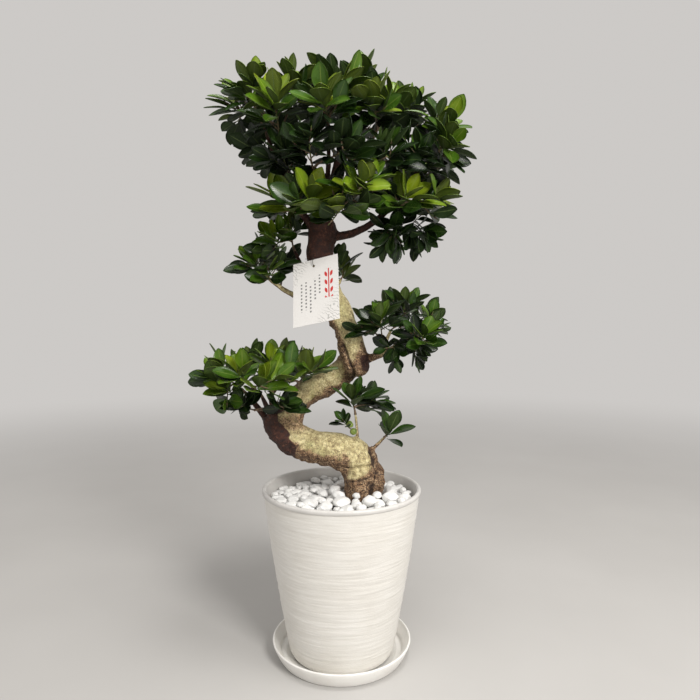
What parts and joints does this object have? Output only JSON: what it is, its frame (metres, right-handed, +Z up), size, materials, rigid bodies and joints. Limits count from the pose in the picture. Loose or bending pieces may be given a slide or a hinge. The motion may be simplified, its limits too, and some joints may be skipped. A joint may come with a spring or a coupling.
{
  "type": "potted ficus",
  "caption": "Bonsai-style ficus with an S-curved trunk and leafy pads, in a tall tapered white pot topped with pebbles, on a round saucer.",
  "frame": {"origin": "centre of the saucer's flat underside, under the pot's axis", "axes": "+Z up along the pot's axis; -Y towards the front, where the card hangs; +X to the viewer's right"},
  "size_m": [0.5169, 0.3469, 1.1279],
  "materials": {
    "pot": "matte warm white, faintly ridged round its wall",
    "saucer": "smooth satin white",
    "soil": "dark crumbly potting mix",
    "pebbles": "tumbled white marble",
    "bark": "pale yellow-olive bark, speckled brown below and dark on old cuts",
    "leaves": "thick waxy leaf, deep green with yellow-green new growth",
    "card": "smooth white card with a faint grey ornament",
    "tie": "dark coated wire"
  },
  "bodies": {
    "root": {"card_tie": "tie", "crown_01": "leaves", "crown_02": "leaves", "crown_03": "leaves", "crown_04": "leaves", "crown_05": "leaves", "crown_06": "leaves", "crown_07": "leaves", "crown_08": "leaves", "crown_09": "leaves", "crown_10": "leaves", "crown_11": "leaves", "crown_12": "leaves", "crown_13": "leaves", "crown_14": "leaves", "crown_15": "leaves", "crown_16": "leaves", "crown_17": "leaves", "left_mid_01": "leaves", "left_mid_02": "leaves", "left_mid_03": "leaves", "left_mid_04": "leaves", "lower_left_01": "leaves", "lower_left_02": "leaves", "lower_left_03": "leaves", "lower_left_04": "leaves", "lower_left_05": "leaves", "lower_left_06": "leaves", "name_card": "card", "pebble_01": "pebbles", "pebble_02": "pebbles", "pebble_03": "pebbles", "pebble_04": "pebbles", "pebble_05": "pebbles", "pebble_06": "pebbles", "pebble_07": "pebbles", "pebble_08": "pebbles", "pebble_09": "pebbles", "pebble_10": "pebbles", "pebble_11": "pebbles", "pebble_12": "pebbles", "pebble_13": "pebbles", "pebble_14": "pebbles", "pebble_15": "pebbles", "pebble_16": "pebbles", "pebble_17": "pebbles", "pebble_18": "pebbles", "pebble_19": "pebbles", "pot": "pot", "right_01": "leaves", "right_02": "leaves", "right_03": "leaves", "right_04": "leaves", "right_05": "leaves", "saucer": "saucer", "soil": "soil", "sprout_01": "leaves", "sprout_02": "leaves", "sprout_03": "leaves", "trunk": "bark"}
  },
  "joints": []
}
